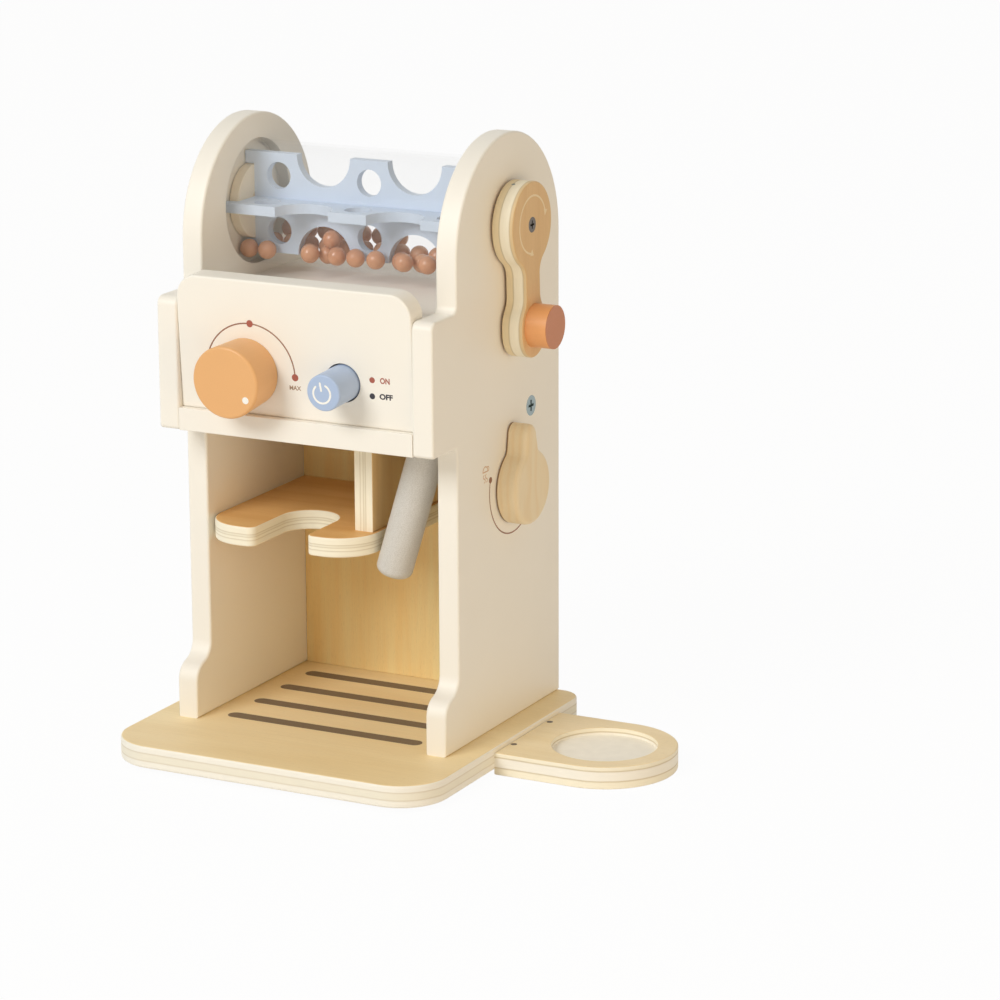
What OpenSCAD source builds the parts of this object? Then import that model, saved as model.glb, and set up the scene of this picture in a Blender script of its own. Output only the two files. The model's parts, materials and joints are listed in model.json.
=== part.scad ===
// Wooden toy coffee maker: a plywood stand with two arched side panels, a sloping control
// panel, a clear bean hopper with a cranked agitator, a fork shelf, a swinging steam wand
// and a round cup holder at its right side.
// Millimetres, +Z up, +X to the right seen from the front, the front faces -Y.
// The origin is on the ground under the middle of the base plate.

/* [Boards] */
// Thickness of the plywood boards
ply_t = 9.2; // [8:0.1:12]
// Overall height, from the ground to the top of the arches
total_h = 252; // [240:1:280]
// Width across the two side panels
body_w = 123.4; // [115:0.2:130]

/* [Base] */
// Width of the base plate
base_w = 146; // [138:1:170]
// Depth of the base plate
base_d = 142; // [136:1:160]
// Radius of the two front corners
base_front_r = 20; // [6:1:30]
// Radius of the two back corners
base_back_r = 9; // [3:1:9]
// Thickness of the foot pads
pad_t = 2; // [1.5:0.1:3]
// Radius of the foot pads
pad_r = 7; // [5:0.5:9]
// Distance of a foot pad's centre from the edges of the base plate
pad_inset = 20; // [18:1:30]

/* [Side panels] */
// Radius of the arches; the legs are twice as deep
arch_r = 45; // [43:0.5:48]
// How far the feet stand ahead of the legs
foot_out = 11.5; // [8:0.5:14]
// Height of the straight front of the feet
foot_h = 15.3; // [10:0.1:20]
// Height over which a foot sweeps back to the leg
foot_sweep = 15; // [12:0.5:20]
// Clear height between the base plate and the ceiling board
bay_h = 122.9; // [110:0.1:130]
// How far the control box stands ahead of the legs
box_out = 20.2; // [16:0.2:22]
// Height of the control box
box_h = 53.7; // [50:0.1:56]
// Radius of the upper front corner of the control box
box_top_r = 3.5; // [1:0.1:6]
// Radius of the lower front corner of the control box
box_low_r = 1.5; // [0.5:0.1:4]
// Radius of the hollow corner between a leg and the top of the box
leg_top_r = 3; // [1:0.1:5]
// Radius of the hollow corner between a leg and the underside of the box
leg_low_r = 2; // [1:0.1:4]
// Distance of the back panel from the back edges of the side panels
back_inset = 2.9; // [1:0.1:6]
// Distance of the deck's top below the top of the box
deck_drop = 1.5; // [0.5:0.1:3]

/* [Control panel] */
// Forward lean of the control panel, in degrees
panel_lean = 3.5; // [0:0.5:5]
// Distance of the panel's foot behind the front of the box
panel_inset = 2.75; // [2:0.05:5]
// Length of the panel up its sloping face
panel_h = 54.4; // [50:0.1:60]
// Radius of its two upper corners
panel_corner_r = 9.5; // [3:0.5:14]

/* [Dial] */
// Place of the dial to the left of the middle
dial_left = 21.5; // [17:0.5:24]
// Height of the dial's centre up the panel
dial_up = 17.3; // [16.5:0.1:20]
// Radius of the dial at its face
dial_r = 14.6; // [12:0.1:15]
// Radius of the dial at the panel
dial_root_r = 13.7; // [11:0.1:14]
// Length of the dial
dial_h = 17.4; // [14:0.1:22]
// Rounding of the dial's front edge
dial_edge = 1.2; // [0.5:0.1:3]

/* [Power button] */
// Place of the button to the right of the middle
button_right = 21.2; // [18:0.1:26]
// Height of the button's centre up the panel
button_up = 17; // [15:0.1:22]
// Radius of the button
button_r = 7.3; // [6:0.1:8]
// How far the button stands out when it is released
button_out = 15.4; // [12:0.1:20]
// How far the button can be pushed in
button_travel = 5; // [3:0.5:5.5]
// Play around the button in its hole
button_play = 0.6; // [0.3:0.1:1]
// Length that the spring keeps behind the button's boss when the button is pushed home
spring_rest = 5; // [4:0.5:7]
// Mean radius of the spring
spring_r = 4.4; // [4:0.1:5]
// Thickness of the spring wire
spring_wire = 0.8; // [0.5:0.1:1]
// Turns of the spring
spring_turns = 5; // [4:1:7]

/* [Shelf and divider] */
// Thickness of the shelf's and the divider's boards
shelf_t = 8.3; // [7:0.1:10]
// Height of the shelf's top above the base plate
shelf_up = 82.2; // [76:0.1:90]
// Place of the shelf's right edge from the middle
shelf_right = 20.5; // [17:0.5:22]
// Distance of the fork's tips behind the front of the control box
fork_inset = 13.4; // [10:0.1:16]
// Place of the fork's slot to the left of the middle
slot_left = 15.6; // [13:0.1:17]
// Radius of the slot's round end, half the slot's width
slot_r = 12.1; // [10:0.1:13]
// Depth of the slot
slot_depth = 36.5; // [30:0.1:40]
// Radius of the outer corner of the left prong
left_prong_r = 17; // [8:0.5:17]
// Radius of the outer corner of the right prong
right_prong_r = 17; // [12:0.5:17]
// Radius of the prongs' corners at the slot's mouth
mouth_r = 3.5; // [3:0.5:6]
// Place of the divider's right face from the middle
divider_right = 18.9; // [18:0.1:20]
// Distance of the divider's front edge behind the tips of the fork
divider_inset = 15.3; // [12:0.1:20]

/* [Steam wand] */
// Radius of the wand
wand_r = 7.4; // [6:0.1:8]
// Tilt of the wand from upright, in degrees
wand_tilt = 17; // [12:0.5:17]
// Height of the wand's lower end above the base plate
wand_end_up = 65.7; // [60:0.1:80]
// Distance of the swivel's axis from the right side panel
swivel_side = 9.9; // [9.8:0.1:10.5]
// Distance of the swivel's axis behind the front of the control box
swivel_inset = 30.9; // [26:0.1:32]
// Radius of the swivel block
swivel_r = 9; // [8:0.1:9.5]
// Thickness of the swivel block
swivel_t = 5; // [4:0.5:8]
// Rounding of the wand's lower end
wand_edge = 3; // [1:0.5:4]

/* [Hopper] */
// Height of the hopper's axis
hopper_z = 216; // [214:0.5:219]
// Outer radius of the clear tube
tube_r = 25.2; // [25:0.1:27]
// Wall of the clear tube
tube_wall = 1.2; // [1:0.1:1.3]
// Depth of the recesses in the side panels that hold the tube
recess_depth = 5; // [4:0.5:6]
// Play around the tube in its recesses
recess_play = 0.3; // [0.1:0.05:0.4]
// Radius of the beads
bead_r = 3.8; // [3.4:0.1:3.8]

/* [Agitator] */
// Thickness of the blades
blade_t = 4; // [3:0.5:4]
// Outer radius of the blades
blade_r = 20.5; // [19.5:0.5:21]
// Place of the scallops from the middle of a blade
scallop_x = 20.8; // [20.4:0.1:21]
// Radius of the scallops
scallop_r = 12.2; // [12:0.1:12.5]
// Radius from the axis to the bottom of the scallops
scallop_low = 8; // [7.5:0.1:8]
// Radius of the round holes in the blades
blade_hole_r = 5.5; // [4:0.5:6]
// Distance of the round holes from the axis
blade_hole_up = 11.3; // [10.5:0.1:12.5]
// Radius of the hub discs
hub_r = 15.3; // [12:0.1:15.3]
// Thickness of the hub discs
hub_t = 4.1; // [3:0.1:5]
// Radius of the axles
axle_r = 4; // [3:0.5:5]

/* [Crank] */
// Distance between the crank's axis and its knob
crank_throw = 40.6; // [36:0.1:45]
// Radius of the crank arm's upper lobe
crank_lobe_r = 17.2; // [14:0.1:19]
// Radius of the crank arm's lower lobe
crank_end_r = 10.7; // [9.5:0.1:12]
// How far the crank arm's lower end runs on below the knob's centre before it is rounded
crank_end_more = 2.4; // [0:0.1:4]
// Lean of the crank arm towards the back, in degrees
crank_lean = 2.4; // [0:0.1:6]
// Half width of the crank arm's waist
crank_waist = 6.1; // [5:0.1:8]
// Radius of the crank knob
crank_knob_r = 8.75; // [7:0.05:9]
// Length of the crank knob
crank_knob_len = 9.3; // [8:0.1:16]
// Gap between the crank arm and the side panel
crank_gap = 1; // [0.3:0.1:1.5]

/* [Steam knob] */
// Height of the steam knob's axis
steam_z = 109; // [100:0.1:112]
// Distance of the steam knob's axis behind the arch's centre
steam_back = 2.6; // [-6:0.1:6]
// Radius of the round part of the knob
steam_r = 15.4; // [12:0.1:17]
// Height of the centre of the pointer's tip above the axis
pointer_up = 21.4; // [20:0.1:25]
// Radius of the pointer's tip
pointer_r = 4.5; // [3.5:0.1:5.5]
// Half width of the pointer where it leaves the round part
pointer_root = 6.3; // [5.8:0.1:8]
// Lean of the pointer towards the front, in degrees
pointer_lean = 2.6; // [0:0.1:6]

/* [Cup holder] */
// Width of the cup holder
holder_w = 59; // [50:1:64]
// Distance of the round end's centre from the base plate's edge
holder_out = 34.5; // [30:0.5:45]
// Distance of the cup holder's middle behind the middle of the base plate
holder_back = 18.5; // [5:0.5:25]
// Radius of the round recess for the cup
cup_r = 21.3; // [18:0.1:24]
// Depth of the recess
cup_depth = 3; // [2:0.5:5]
// Distance of each dowel from the cup holder's middle
dowel_off = 16.2; // [12:0.1:20]
// Radius of the dowels
dowel_r = 2; // [1.5:0.1:2.2]
// Length of a dowel on each side of the joint
dowel_half = 12; // [8:0.5:12]

/* [Fasteners] */
// Radius of the screws' shanks
screw_r = 1.8; // [1.5:0.1:2]
// Radius of the screws' heads
screw_head_r = 4.2; // [3.6:0.1:4.4]
// Length of the screws that hold the side panels
screw_len = 28; // [22:1:32]
// Distance of the side screws behind the arch's centre
side_screw_back = 19; // [10:1:25]
// Radius of the washers
washer_r = 5.5; // [5:0.5:6.5]
// Thickness of the washers
washer_t = 1; // [0.5:0.1:1.5]

/* [Fits] */
// Radial play of a turning shaft in its hole
run_play = 0.08; // [0.03:0.01:0.1]
// Radial play of a fixed pin, screw or lap joint
fixed_play = 0.05; // [0.02:0.01:0.1]
// Gap beside a washer or flange that moves
side_play = 0.2; // [0.1:0.05:0.4]

/* [Hidden] */
$fn = 96;
e = 0.01;
over = 1;

// Planes of the boards
base_top = pad_t + ply_t;
panel_out_x = body_w / 2;
panel_in_x = panel_out_x - ply_t;
panel_mid_x = panel_out_x - ply_t / 2;
back_y = base_d / 2;
arch_y = back_y - arch_r;
arch_z = total_h - arch_r;
leg_y = back_y - 2 * arch_r;
box_y = leg_y - box_out;
box_z = base_top + bay_h;
box_top = box_z + box_h;
ceiling_top = box_z + ply_t;
deck_top = box_top - deck_drop;
deck_low = deck_top - ply_t;
back_panel_out = back_y - back_inset;
back_panel_in = back_panel_out - ply_t;
panel_foot_y = box_y + panel_inset;

// Sweep between a foot and its leg: two equal arcs and the slope between them
sweep_ease = 5;
sweep_a = 2 * atan(foot_out / foot_sweep) - sweep_ease;
sweep_r = (foot_sweep * sin(sweep_a) - foot_out * cos(sweep_a)) / (2 - 2 * cos(sweep_a));

// Shelf
shelf_top = base_top + shelf_up;
shelf_low = shelf_top - shelf_t;
fork_y = box_y + fork_inset;
divider_y = fork_y + divider_inset;
slot_end_y = fork_y + slot_depth - slot_r;

// Wand
swivel_x = panel_in_x - swivel_side;
swivel_y = box_y + swivel_inset;
swivel_low = box_z - side_play - swivel_t;
wand_end_z = base_top + wand_end_up;
wand_len = (swivel_low - wand_end_z) / cos(wand_tilt);

// Hopper and agitator
recess_r = tube_r + recess_play;
recess_x = panel_in_x + recess_depth;
tube_half = recess_x - side_play;
tab_half = recess_x - 2 * side_play;
tab_low = hub_r + side_play;
blade_half = tab_half - hub_t;
scallop_z = scallop_low + scallop_r;
hole_x = 2 * scallop_x;
blind_wall = 1.2;
left_axle_end = panel_out_x - blind_wall;
bead_ring = tube_r - tube_wall - bead_r - 2 * side_play;
bead_reach = tube_half - bead_r;
bead_gap = 0.8;
bead_pitch = 2 * bead_r + bead_gap;

// Crank
crank_x = panel_out_x + crank_gap;
crank_face = crank_x + ply_t;
crank_bore = 6;
axle_len = crank_x + crank_bore - blade_half;
knob_dowel_r = 4;
knob_seat = 7;
knob_cap = 3;
crank_screw_r = 1.5;
crank_head_r = 3.1;
crank_screw_len = 14;
brad_r = 0.75;
brad_angle = 17;
brad_shift = 1.1;
brad_foot = (axle_r + crank_screw_r) / 2;
brad_len = crank_lobe_r - brad_foot;

// Turning knobs: a screw with a washer passes through the board from behind
knob_screw_r = 2;
knob_screw_head_r = 3.8;
knob_screw_head_h = 2.2;
knob_grip = 8;
steam_y = arch_y + steam_back;
steam_gap = 0.3;
steam_wall = 2;
pocket_play = 0.5;
pointer_base = 12.6;
knob_fillet = 4;

// Button and its spring
flange_lip = 2.5;
flange_r = button_r + flange_lip;
flange_t = 3;
spring_block_gap = 2;
spring_block_w = 2 * (swivel_x - washer_r - spring_block_gap - button_right);
spring_block_h = 27;
spring_from = ply_t + side_play + flange_t;
spring_play = 0.4;
spring_boss_r = spring_r - spring_wire / 2 - spring_play;
spring_boss_h = 3;
spring_len = spring_boss_h + button_travel + spring_rest;
wire_sides = 6;
turn_steps = 16;

// Cup holder
holder_x = base_w / 2;
dowel_z = (pad_t + ply_t) / 2;
pin_r = 0.9;
pin_head_r = 1.3;
pin_head_t = 0.6;
pin_in = 2;
pin_x = holder_x + pin_in;
pin_low = 1.2;
holder_floor = ply_t - cup_depth;

// Base screws: [x, y] of each one
base_screw_len = 26;
base_screw_inset = 12;
base_screw_front = leg_y + base_screw_inset;
base_screw_ahead = 40;
base_screw_rear = back_y - base_screw_ahead;
base_screw_back = back_panel_out - ply_t / 2;
base_screw_off = 30;
base_screw_at = [[-panel_mid_x, base_screw_front], [-panel_mid_x, base_screw_rear],
                 [panel_mid_x, base_screw_front], [panel_mid_x, base_screw_rear],
                 [-base_screw_off, base_screw_back], [base_screw_off, base_screw_back]];
side_screw_y = arch_y + side_screw_back;
side_screw_drop = 0.6;
side_screw_z = box_z + ply_t / 2 - side_screw_drop;

// Beads: the angle of each row from straight down, towards the front, and its places along x
// as shares of the tube's reach. They lie in the bottom of the tube, most of them in front.
bead_rows = [[19.5, [-0.997, -0.84, -0.467, -0.236, -0.075, 0.097, 0.336, 0.535, 0.701, 0.897]],
             [-1, [-0.543, -0.384, 0.243, 0.421]],
             [-24, [for (i = [0 : 11]) i * bead_pitch / bead_reach - 0.935]],
             [-48, [for (i = [0 : 6]) i * bead_pitch / bead_reach - 0.86]],
             [-72, [for (i = [0 : 3]) i * bead_pitch / bead_reach - 0.86]]];
// One bead lies on top of the others, in a scallop of the lower blade: its share and its angle
top_bead = [-0.327, 8];
top_bead_ring = bead_ring - 1.75 * bead_r;

cream = [0.97, 0.94, 0.88];
birch = [0.88, 0.74, 0.55];
orange_paint = [0.90, 0.63, 0.38];
blue_paint = [0.66, 0.74, 0.86];
grey_paint = [0.72, 0.70, 0.67];
bead_brown = [0.70, 0.47, 0.36];
steel = [0.75, 0.76, 0.76];
clear = [0.85, 0.90, 0.92, 0.3];

// --- Flat shapes -------------------------------------------------------------------------

// The bit between two edges at right angles and the arc that rounds their corner:
// the corner is at the origin and the arc's centre is at [r, r].
module corner_bit(r) {
    difference() {
        translate([-e, -e]) square(r + e);
        translate([r, r]) circle(r);
    }
}

// The blend of radius f between a disc of radius r at the origin and a straight neck that goes
// up from it, whose edge is x = root - taper * y
module neck_blend(r, f, root, taper) {
    s = sqrt(1 + taper * taper);
    p = root / s + f;
    q = sqrt((r + f) * (r + f) - p * p);
    fx = (p - taper * q) / s;
    fy = (taper * p + q) / s;
    difference() {
        polygon([[0, 0], [fx, fy], [fx - f / s, fy - f * taper / s], [0, fy - f * taper / s]]);
        translate([fx, fy]) circle(f);
    }
}

// Turns an outline drawn as [y, z] into a board of thickness t whose left face is at x
module board_x(x, t) {
    translate([x, 0, 0]) rotate([90, 0, 90]) linear_extrude(t) children();
}

// Lies a round thing that points up onto the X axis, so that it points to +X
module along_x() {
    rotate([0, 90, 0]) children();
}

// The sloping panel's own frame: X to the right, Y up its face, Z out of its face
module on_panel() {
    translate([0, panel_foot_y, ceiling_top]) rotate([90 + panel_lean, 0, 0]) children();
}

// --- Fasteners ---------------------------------------------------------------------------

// A cross recess in a screw's head whose top is at z = 0
module cross_slot(head_r) {
    for (a = [0, 90])
        rotate([0, 0, a]) translate([-head_r * 0.55, -head_r * 0.13, -head_r * 0.35])
            cube([head_r * 1.1, head_r * 0.26, head_r]);
}

// A countersunk screw that points down from a flush head at z = 0
module flat_screw(r, length, head_r) {
    difference() {
        union() {
            translate([0, 0, -length]) cylinder(r = r, h = length);
            translate([0, 0, r - head_r]) cylinder(r1 = r, r2 = head_r, h = head_r - r);
        }
        cross_slot(head_r);
    }
}

// The hole that such a screw fills, with its play
module flat_screw_hole(r, length, head_r) {
    translate([0, 0, -length - over]) cylinder(r = r + fixed_play, h = length + over);
    translate([0, 0, r - head_r - fixed_play])
        cylinder(r1 = r, r2 = head_r + 2 * fixed_play, h = head_r - r + 2 * fixed_play);
}

// A round-headed screw that points up, its head under z = 0
module round_screw(length) {
    difference() {
        union() {
            cylinder(r = knob_screw_r, h = length);
            translate([0, 0, -knob_screw_head_h])
                cylinder(r = knob_screw_head_r, h = knob_screw_head_h);
        }
        translate([0, 0, -knob_screw_head_h]) rotate([180, 0, 0]) cross_slot(knob_screw_head_r);
    }
}

// A flat washer on a turning knob's screw, from z = 0 up
module washer() {
    difference() {
        cylinder(r = washer_r, h = washer_t);
        translate([0, 0, -over])
            cylinder(r = knob_screw_r + fixed_play, h = washer_t + 2 * over);
    }
}

// --- Stand -------------------------------------------------------------------------------

module foot_pads() {
    color("dimgray")
    for (x = [-1, 1])
        for (y = [-1, 1])
            translate([x * (base_w / 2 - pad_inset), y * (base_d / 2 - pad_inset), 0])
                cylinder(r = pad_r, h = pad_t);
}

module base_outline() {
    difference() {
        translate([-base_w / 2, -base_d / 2]) square([base_w, base_d]);
        for (m = [0, 1])
            mirror([m, 0]) {
                translate([-base_w / 2, -base_d / 2]) corner_bit(base_front_r);
                translate([-base_w / 2, base_d / 2]) mirror([0, 1]) corner_bit(base_back_r);
            }
    }
}

module base_plate() {
    color(birch)
    difference() {
        translate([0, 0, pad_t]) linear_extrude(ply_t) base_outline();
        base_screw_holes();
        dowel_holes();
    }
}

module base_screw_holes() {
    for (p = base_screw_at)
        translate([p[0], p[1], pad_t]) mirror([0, 0, 1])
            flat_screw_hole(screw_r, base_screw_len, screw_head_r);
}

module base_screws() {
    color(steel)
    for (p = base_screw_at)
        translate([p[0], p[1], pad_t]) mirror([0, 0, 1])
            flat_screw(screw_r, base_screw_len, screw_head_r);
}

module side_outline() {
    low = base_top;
    round_at = [leg_y - foot_out + sweep_r, low + foot_h];
    hollow_at = [leg_y - sweep_r, low + foot_h + foot_sweep];
    slope_off = sweep_r * [-cos(sweep_a), sin(sweep_a)];
    difference() {
        union() {
            translate([leg_y, low]) square([2 * arch_r, arch_z - low]);
            translate([arch_y, arch_z]) circle(arch_r, $fn = 180);
            // Foot: a round arc, a short slope and a hollow arc lead back to the leg
            difference() {
                translate([leg_y - foot_out, low]) square([foot_out + e, foot_h + foot_sweep]);
                difference() {
                    polygon([[box_y, round_at[1]], round_at, round_at + slope_off,
                             hollow_at - slope_off, hollow_at, hollow_at + [0, over],
                             [box_y, hollow_at[1] + over]]);
                    translate(round_at) circle(sweep_r);
                }
                translate(hollow_at) circle(sweep_r);
            }
            // Control box
            translate([box_y, box_z]) square([box_out + e, box_h]);
            translate([leg_y, box_top]) mirror([1, 0]) corner_bit(leg_top_r);
            translate([leg_y, box_z]) rotate(180) corner_bit(leg_low_r);
        }
        translate([box_y, box_top]) mirror([0, 1]) corner_bit(box_top_r);
        translate([box_y, box_z]) corner_bit(box_low_r);
    }
}

// What both side panels lose: the tube's recess and the screw holes. Drawn for the right one.
module side_cuts() {
    translate([panel_in_x - over, arch_y, hopper_z]) along_x()
        cylinder(r = recess_r, h = recess_depth + over, $fn = 180);
    side_screw_place() flat_screw_hole(screw_r, screw_len, screw_head_r);
    base_screw_holes();
}

module side_screw_place() {
    translate([panel_out_x, side_screw_y, side_screw_z]) along_x() children();
}

module left_side_panel() {
    color(cream)
    difference() {
        board_x(-panel_out_x, ply_t) side_outline();
        mirror([1, 0, 0]) side_cuts();
        translate([-left_axle_end, arch_y, hopper_z]) along_x()
            cylinder(r = axle_r + run_play, h = ply_t);
    }
}

module right_side_panel() {
    color(cream)
    difference() {
        board_x(panel_in_x, ply_t) side_outline();
        side_cuts();
        translate([panel_in_x - over, arch_y, hopper_z]) along_x()
            cylinder(r = axle_r + run_play, h = ply_t + 2 * over);
        translate([panel_in_x - over, steam_y, steam_z]) along_x()
            cylinder(r = knob_screw_r + run_play, h = ply_t + 2 * over);
        translate([panel_in_x - over, steam_y, steam_z]) along_x()
            cylinder(r = washer_r + pocket_play, h = over + steam_pocket());
    }
}

// Depth of the pocket in the right panel's inner face that takes the steam knob's washer and
// screw head
function steam_pocket() = washer_t + knob_screw_head_h + 2 * side_play;

module side_screws() {
    color(steel)
    for (m = [0, 1])
        mirror([m, 0, 0]) side_screw_place() flat_screw(screw_r, screw_len, screw_head_r);
}

module back_panel() {
    color(birch)
    difference() {
        translate([-panel_in_x, back_panel_in, base_top])
            cube([2 * panel_in_x, ply_t, deck_low - base_top]);
        base_screw_holes();
    }
}

module ceiling_board() {
    color(cream)
    difference() {
        translate([-panel_in_x, box_y, box_z])
            cube([2 * panel_in_x, back_panel_in - box_y, ply_t]);
        for (m = [0, 1])
            mirror([m, 0, 0]) side_screw_place()
                flat_screw_hole(screw_r, screw_len, screw_head_r);
        translate([swivel_x, swivel_y, box_z - over])
            cylinder(r = knob_screw_r + run_play, h = ply_t + 2 * over);
    }
}

module top_deck() {
    color(cream)
    difference() {
        translate([-panel_in_x, box_y, deck_low])
            cube([2 * panel_in_x, back_panel_out - box_y, ply_t]);
        // The front edge is cut to the sloping panel's back
        on_panel() translate([-body_w, -body_w, -ply_t]) cube(2 * body_w);
    }
}

module front_panel() {
    color(cream)
    difference() {
        on_panel() translate([0, 0, -ply_t]) linear_extrude(ply_t)
            difference() {
                translate([-panel_in_x, -over]) square([2 * panel_in_x, panel_h + over]);
                for (m = [0, 1])
                    mirror([m, 0]) translate([-panel_in_x, panel_h])
                        mirror([0, 1]) corner_bit(panel_corner_r);
            }
        translate([-body_w, box_y - ply_t, ceiling_top - 2 * over])
            cube([2 * body_w, 3 * ply_t, 2 * over]);
        on_panel() {
            translate([-dial_left, dial_up, -ply_t - over])
                cylinder(r = knob_screw_r + run_play, h = ply_t + 2 * over);
            translate([button_right, button_up, -ply_t - over])
                cylinder(r = button_r + button_play, h = ply_t + 2 * over);
        }
    }
}

// --- Dial and power button ---------------------------------------------------------------

module dial_knob() {
    color(orange_paint)
    on_panel() translate([-dial_left, dial_up, side_play])
        difference() {
            rotate_extrude()
                union() {
                    polygon([[0, 0], [dial_root_r, 0], [dial_r, dial_h - dial_edge],
                             [0, dial_h - dial_edge]]);
                    translate([dial_r - dial_edge, dial_h - dial_edge])
                        intersection() {
                            circle(dial_edge, $fn = 32);
                            square(2 * dial_edge);
                        }
                    translate([0, dial_h - dial_edge - e])
                        square([dial_r - dial_edge, dial_edge + e]);
                }
            translate([0, 0, -over])
                cylinder(r = knob_screw_r + fixed_play, h = knob_grip + over);
        }
}

module dial_screw() {
    color(steel)
    on_panel() translate([-dial_left, dial_up, -ply_t - side_play - washer_t])
        round_screw(washer_t + ply_t + 2 * side_play + knob_grip);
}

module dial_washer() {
    color(steel)
    on_panel() translate([-dial_left, dial_up, -ply_t - side_play - washer_t]) washer();
}

module power_button() {
    color(blue_paint)
    on_panel() translate([button_right, button_up, -ply_t - side_play])
        union() {
            cylinder(r = button_r, h = ply_t + side_play + button_out);
            translate([0, 0, -flange_t]) cylinder(r = flange_r, h = flange_t);
            translate([0, 0, -flange_t - spring_boss_h])
                cylinder(r = spring_boss_r, h = spring_boss_h + e);
        }
}

// One ring of points around the spring's wire, at angle a and height z of the coil
function wire_ring(a, z) =
    [for (k = [0 : wire_sides - 1])
        let (t = 360 / wire_sides * k, w = spring_r + spring_wire / 2 * cos(t))
        [w * cos(a), w * sin(a), z + spring_wire / 2 * sin(t)]];

module coil() {
    n = wire_sides;
    steps = turn_steps * spring_turns;
    rise = spring_len - spring_wire;
    points = [for (i = [0 : steps])
        each wire_ring(360 * spring_turns * i / steps, spring_wire / 2 + rise * i / steps)];
    sides = [for (i = [0 : steps - 1]) for (k = [0 : n - 1])
        [n * i + k, n * i + n + k, n * i + n + (k + 1) % n, n * i + (k + 1) % n]];
    ends = [[for (k = [0 : n - 1]) k], [for (k = [n - 1 : -1 : 0]) n * steps + k]];
    polyhedron(points, concat(sides, ends));
}

module button_spring() {
    color(steel)
    on_panel() translate([button_right, button_up, -spring_from - spring_len]) coil();
}

// The block behind the button that its spring pushes against
module spring_block() {
    color(birch)
    difference() {
        on_panel() translate([button_right - spring_block_w / 2, -over,
                              -spring_from - spring_len - ply_t])
            cube([spring_block_w, spring_block_h + over, ply_t]);
        translate([-body_w, box_y, ceiling_top - 3 * over])
            cube([2 * body_w, body_w, 3 * over]);
    }
}

// --- Shelf, divider and steam wand -------------------------------------------------------

module fork_shelf() {
    color(birch)
    translate([0, 0, shelf_low]) linear_extrude(shelf_t)
        difference() {
            translate([-panel_in_x, fork_y])
                square([panel_in_x + shelf_right, back_panel_in - fork_y]);
            translate([-slot_left - slot_r, fork_y - over])
                square([2 * slot_r, slot_end_y - fork_y + over]);
            translate([-slot_left, slot_end_y]) circle(slot_r);
            translate([-panel_in_x, fork_y]) corner_bit(left_prong_r);
            translate([shelf_right, fork_y]) mirror([1, 0]) corner_bit(right_prong_r);
            translate([-slot_left - slot_r, fork_y]) mirror([1, 0]) corner_bit(mouth_r);
            translate([-slot_left + slot_r, fork_y]) corner_bit(mouth_r);
        }
}

module divider() {
    color(birch)
    translate([divider_right - shelf_t, divider_y, shelf_top])
        cube([shelf_t, back_panel_in - divider_y, box_z - shelf_top]);
}

module wand_place() {
    translate([swivel_x, swivel_y, swivel_low]) rotate([0, wand_tilt, 0]) children();
}

module steam_wand() {
    color(grey_paint)
    difference() {
        wand_place() translate([0, 0, -wand_len])
            rotate_extrude()
                union() {
                    translate([0, wand_edge])
                        square([wand_r, wand_len + wand_r - wand_edge]);
                    square([wand_r - wand_edge, wand_edge + e]);
                    translate([wand_r - wand_edge, wand_edge])
                        intersection() {
                            circle(wand_edge, $fn = 48);
                            translate([0, -wand_edge]) square(wand_edge);
                        }
                }
        // The upper end is cut level, against the swivel block
        translate([swivel_x - body_w / 2, swivel_y - body_w / 2, swivel_low])
            cube([body_w, body_w, body_w]);
    }
}

module wand_swivel() {
    color(grey_paint)
    translate([swivel_x, swivel_y, swivel_low])
        difference() {
            cylinder(r = swivel_r, h = swivel_t);
            translate([0, 0, -over])
                cylinder(r = knob_screw_r + fixed_play, h = swivel_t + 2 * over);
        }
}

module wand_screw() {
    color(steel)
    translate([swivel_x, swivel_y, ceiling_top + side_play + washer_t]) mirror([0, 0, 1])
        round_screw(ceiling_top + side_play + washer_t - swivel_low);
}

module wand_washer() {
    color(steel)
    translate([swivel_x, swivel_y, ceiling_top + side_play]) washer();
}

// --- Steam knob --------------------------------------------------------------------------

// Drawn with the pointer up, as [y, z] from the knob's axis
module steam_knob_outline() {
    taper = (pointer_root - pointer_r) / (pointer_up - pointer_base);
    root = pointer_root + taper * pointer_base;
    circle(steam_r);
    translate([0, pointer_up]) circle(pointer_r);
    polygon([[-root, 0], [root, 0], [pointer_r, pointer_up], [-pointer_r, pointer_up]]);
    for (m = [0, 1])
        mirror([m, 0]) neck_blend(steam_r, knob_fillet, root, taper);
}

module steam_knob() {
    color(birch)
    difference() {
        board_x(panel_out_x + steam_gap, ply_t)
            translate([steam_y, steam_z]) rotate(pointer_lean) steam_knob_outline();
        translate([panel_out_x + steam_gap - over, steam_y, steam_z]) along_x()
            cylinder(r = knob_screw_r + fixed_play, h = over + steam_grip());
    }
}

// Depth of the steam knob's screw in the knob
function steam_grip() = ply_t - steam_wall;

module steam_knob_screw() {
    inside = panel_in_x + steam_pocket() - side_play - washer_t;
    color(steel)
    translate([inside, steam_y, steam_z]) along_x()
        round_screw(panel_out_x + steam_gap + steam_grip() - inside);
}

module steam_knob_washer() {
    color(steel)
    translate([panel_in_x + steam_pocket() - side_play - washer_t, steam_y, steam_z]) along_x()
        washer();
}

// --- Hopper ------------------------------------------------------------------------------

module hopper_tube() {
    color(clear)
    translate([-tube_half, arch_y, hopper_z]) along_x()
        difference() {
            cylinder(r = tube_r, h = 2 * tube_half, $fn = 180);
            translate([0, 0, -over])
                cylinder(r = tube_r - tube_wall, h = 2 * (tube_half + over), $fn = 180);
        }
}

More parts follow.
